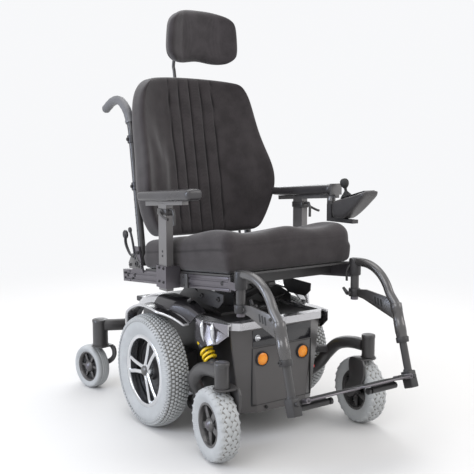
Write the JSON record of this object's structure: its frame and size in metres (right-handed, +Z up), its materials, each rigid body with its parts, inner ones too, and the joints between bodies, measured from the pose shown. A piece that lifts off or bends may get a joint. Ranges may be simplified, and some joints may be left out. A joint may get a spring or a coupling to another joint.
{
  "type": "power wheelchair",
  "caption": "Mid-wheel-drive power wheelchair with suspended casters, tilting padded seat, reclining winged back, headrest, swing-away legrests and an arm-mounted joystick.",
  "frame": {"origin": "on the floor at the middle of the chair's length and width", "axes": "+X towards the occupant's left, +Y to the rear, +Z up; the footplates point to -Y"},
  "size_m": [0.6403, 1.2128, 1.33],
  "materials": {
    "black_steel": "satin black powder coat",
    "grey_steel": "satin dark grey metallic",
    "anodised": "dark anodised extrusion",
    "black_plastic": "fine grained black",
    "anthracite": "dark metallic paint under clear coat",
    "silver_panel": "silver metallic paint",
    "silver_rim": "polished and clear coated",
    "dark_rim": "dark coated casting",
    "grey_tyre": "light grey non-marking tread",
    "amber_lens": "moulded amber reflector",
    "yellow_coil": "gloss yellow coil over black damper",
    "knit_fabric": "charcoal stretch knit",
    "pad_skin": "integral skin foam, fine grain"
  },
  "bodies": {
    "chassis": {"chassis_frame": "black_steel", "battery_box": "black_plastic", "front_cover": "anthracite", "deck": "black_plastic", "shroud": "silver_panel", "seat_mount": "black_steel", "tilt_actuator": "black_steel", "drive_motor_left": "black_steel", "drive_motor_right": "black_steel", "rear_arm_left": "black_steel", "rear_arm_right": "black_steel", "reflector_left": "amber_lens", "reflector_right": "amber_lens", "fender_left": "silver_panel", "fender_right": "silver_panel", "shock_spring_left": "yellow_coil", "shock_spring_right": "yellow_coil"},
    "seat": {"seat_frame": "black_steel", "seat_rail_left": "anodised", "seat_rail_right": "anodised", "seat_cushion": "knit_fabric"},
    "back": {"back_cane_left": "black_steel", "back_cane_right": "black_steel", "back_cushion": "knit_fabric", "back_shell": "black_plastic"},
    "headrest_stem": {"headrest_rod": "black_steel"},
    "headrest": {"headrest_bracket": "black_steel", "headrest_pad": "knit_fabric"},
    "joystick": {"joystick_arm": "black_steel", "joystick_cable": "black_plastic", "joystick_pod": "black_plastic"},
    "joystick_lever": {"joystick_stick": "black_plastic"},
    "drive_wheel_left": {"drive_tyre_left": "grey_tyre", "drive_rim_left": "silver_rim"},
    "suspension_arm_left": {"swing_arm_left": "black_steel"},
    "front_caster_left": {"front_fork_left": "black_steel"},
    "front_wheel_left": {"front_tyre_left": "grey_tyre", "front_rim_left": "dark_rim"},
    "rear_caster_left": {"rear_fork_left": "black_steel"},
    "rear_wheel_left": {"rear_tyre_left": "grey_tyre", "rear_rim_left": "dark_rim"},
    "armrest_left": {"armrest_post_left": "black_steel", "arm_pad_left": "pad_skin"},
    "legrest_left": {"legrest_hanger_left": "grey_steel"},
    "legrest_extension_left": {"legrest_tube_left": "black_steel"},
    "footrest_left": {"footplate_left": "black_steel"},
    "drive_wheel_right": {"drive_tyre_right": "grey_tyre", "drive_rim_right": "silver_rim"},
    "suspension_arm_right": {"swing_arm_right": "black_steel"},
    "front_caster_right": {"front_fork_right": "black_steel"},
    "front_wheel_right": {"front_tyre_right": "grey_tyre", "front_rim_right": "dark_rim"},
    "rear_caster_right": {"rear_fork_right": "black_steel"},
    "rear_wheel_right": {"rear_tyre_right": "grey_tyre", "rear_rim_right": "dark_rim"},
    "armrest_right": {"armrest_post_right": "black_steel", "arm_pad_right": "pad_skin"},
    "legrest_right": {"legrest_hanger_right": "grey_steel"},
    "legrest_extension_right": {"legrest_tube_right": "black_steel"},
    "footrest_right": {"footplate_right": "black_steel"}
  },
  "joints": [
    {"name": "drive_spin_left", "type": "hinge", "parent": "chassis", "child": "drive_wheel_left", "pos_m": [0.275, 0.05481, 0.178], "axis": [1, 0, 0], "continuous": true},
    {"name": "suspension_left", "type": "hinge", "parent": "chassis", "child": "suspension_arm_left", "pos_m": [0.19, -0.07519, 0.095], "axis": [-1, 0, 0], "range_deg": [0, 7], "stiffness_Nm_per_rad": 600, "springref_deg": -14.32, "deforming": ["shock_spring_left"]},
    {"name": "front_swivel_left", "type": "hinge", "parent": "suspension_arm_left", "child": "front_caster_left", "pos_m": [0.277, -0.34319, 0.257], "axis": [0, 0, 1], "continuous": true},
    {"name": "front_spin_left", "type": "hinge", "parent": "front_caster_left", "child": "front_wheel_left", "pos_m": [0.28257, -0.30358, 0.106], "axis": [0.9903, -0.1392, 0], "continuous": true},
    {"name": "rear_swivel_left", "type": "hinge", "parent": "chassis", "child": "rear_caster_left", "pos_m": [0.256, 0.47281, 0.21], "axis": [0, 0, 1], "continuous": true},
    {"name": "rear_spin_left", "type": "hinge", "parent": "rear_caster_left", "child": "rear_wheel_left", "pos_m": [0.24551, 0.5268, 0.079], "axis": [0.9816, 0.1908, 0], "continuous": true},
    {"name": "armrest_height_left", "type": "slide", "parent": "seat", "child": "armrest_left", "axis": [0, 0, 1], "range_m": [0, 0.06]},
    {"name": "legrest_swing_left", "type": "hinge", "parent": "seat", "child": "legrest_left", "pos_m": [0.214, -0.34319, 0.47], "axis": [0, 0, 1], "range_deg": [0, 90]},
    {"name": "legrest_length_left", "type": "slide", "parent": "legrest_left", "child": "legrest_extension_left", "axis": [0, -0.2773, -0.9608], "range_m": [-0.02, 0.04]},
    {"name": "footplate_flip_left", "type": "hinge", "parent": "legrest_extension_left", "child": "footrest_left", "pos_m": [0.188, -0.58619, 0.232], "axis": [0, 0.9397, -0.342], "range_deg": [0, 90]},
    {"name": "drive_spin_right", "type": "hinge", "parent": "chassis", "child": "drive_wheel_right", "pos_m": [-0.275, 0.05481, 0.178], "axis": [1, 0, 0], "continuous": true},
    {"name": "suspension_right", "type": "hinge", "parent": "chassis", "child": "suspension_arm_right", "pos_m": [-0.19, -0.07519, 0.095], "axis": [-1, 0, 0], "range_deg": [0, 7], "stiffness_Nm_per_rad": 600, "springref_deg": -14.32, "deforming": ["shock_spring_right"]},
    {"name": "front_swivel_right", "type": "hinge", "parent": "suspension_arm_right", "child": "front_caster_right", "pos_m": [-0.277, -0.34319, 0.257], "axis": [0, 0, 1], "continuous": true},
    {"name": "front_spin_right", "type": "hinge", "parent": "front_caster_right", "child": "front_wheel_right", "pos_m": [-0.27143, -0.30358, 0.106], "axis": [0.9903, -0.1392, 0], "continuous": true},
    {"name": "rear_swivel_right", "type": "hinge", "parent": "chassis", "child": "rear_caster_right", "pos_m": [-0.256, 0.47281, 0.21], "axis": [0, 0, 1], "continuous": true},
    {"name": "rear_spin_right", "type": "hinge", "parent": "rear_caster_right", "child": "rear_wheel_right", "pos_m": [-0.26649, 0.5268, 0.079], "axis": [0.9816, 0.1908, 0], "continuous": true},
    {"name": "armrest_height_right", "type": "slide", "parent": "seat", "child": "armrest_right", "axis": [0, 0, 1], "range_m": [0, 0.06]},
    {"name": "legrest_swing_right", "type": "hinge", "parent": "seat", "child": "legrest_right", "pos_m": [-0.214, -0.34319, 0.47], "axis": [0, 0, -1], "range_deg": [0, 90]},
    {"name": "legrest_length_right", "type": "slide", "parent": "legrest_right", "child": "legrest_extension_right", "axis": [0, -0.2773, -0.9608], "range_m": [-0.02, 0.04]},
    {"name": "footplate_flip_right", "type": "hinge", "parent": "legrest_extension_right", "child": "footrest_right", "pos_m": [-0.188, -0.58619, 0.232], "axis": [0, -0.9397, 0.342], "range_deg": [0, 90]},
    {"name": "seat_tilt", "type": "hinge", "parent": "chassis", "child": "seat", "pos_m": [0, 0.09481, 0.425], "axis": [-1, 0, 0], "range_deg": [0, 15]},
    {"name": "back_recline", "type": "hinge", "parent": "seat", "child": "back", "pos_m": [0, 0.20981, 0.492], "axis": [-1, 0, 0], "range_deg": [0, 30]},
    {"name": "headrest_height", "type": "slide", "parent": "back", "child": "headrest_stem", "axis": [0, 0.1736, 0.9848], "range_m": [-0.02, 0.08]},
    {"name": "headrest_tilt", "type": "hinge", "parent": "headrest_stem", "child": "headrest", "pos_m": [0, 0.27281, 1.241], "axis": [1, 0, 0], "range_deg": [-20, 20]},
    {"name": "joystick_swing", "type": "hinge", "parent": "armrest_left", "child": "joystick", "pos_m": [0.263, -0.17719, 0.7], "axis": [0, 0, 1], "range_deg": [0, 90]},
    {"name": "joystick_tilt", "type": "hinge", "parent": "joystick", "child": "joystick_lever", "pos_m": [0.268, -0.24519, 0.7168], "axis": [1, 0, 0], "range_deg": [-12, 12], "stiffness_Nm_per_rad": 1}
  ]
}
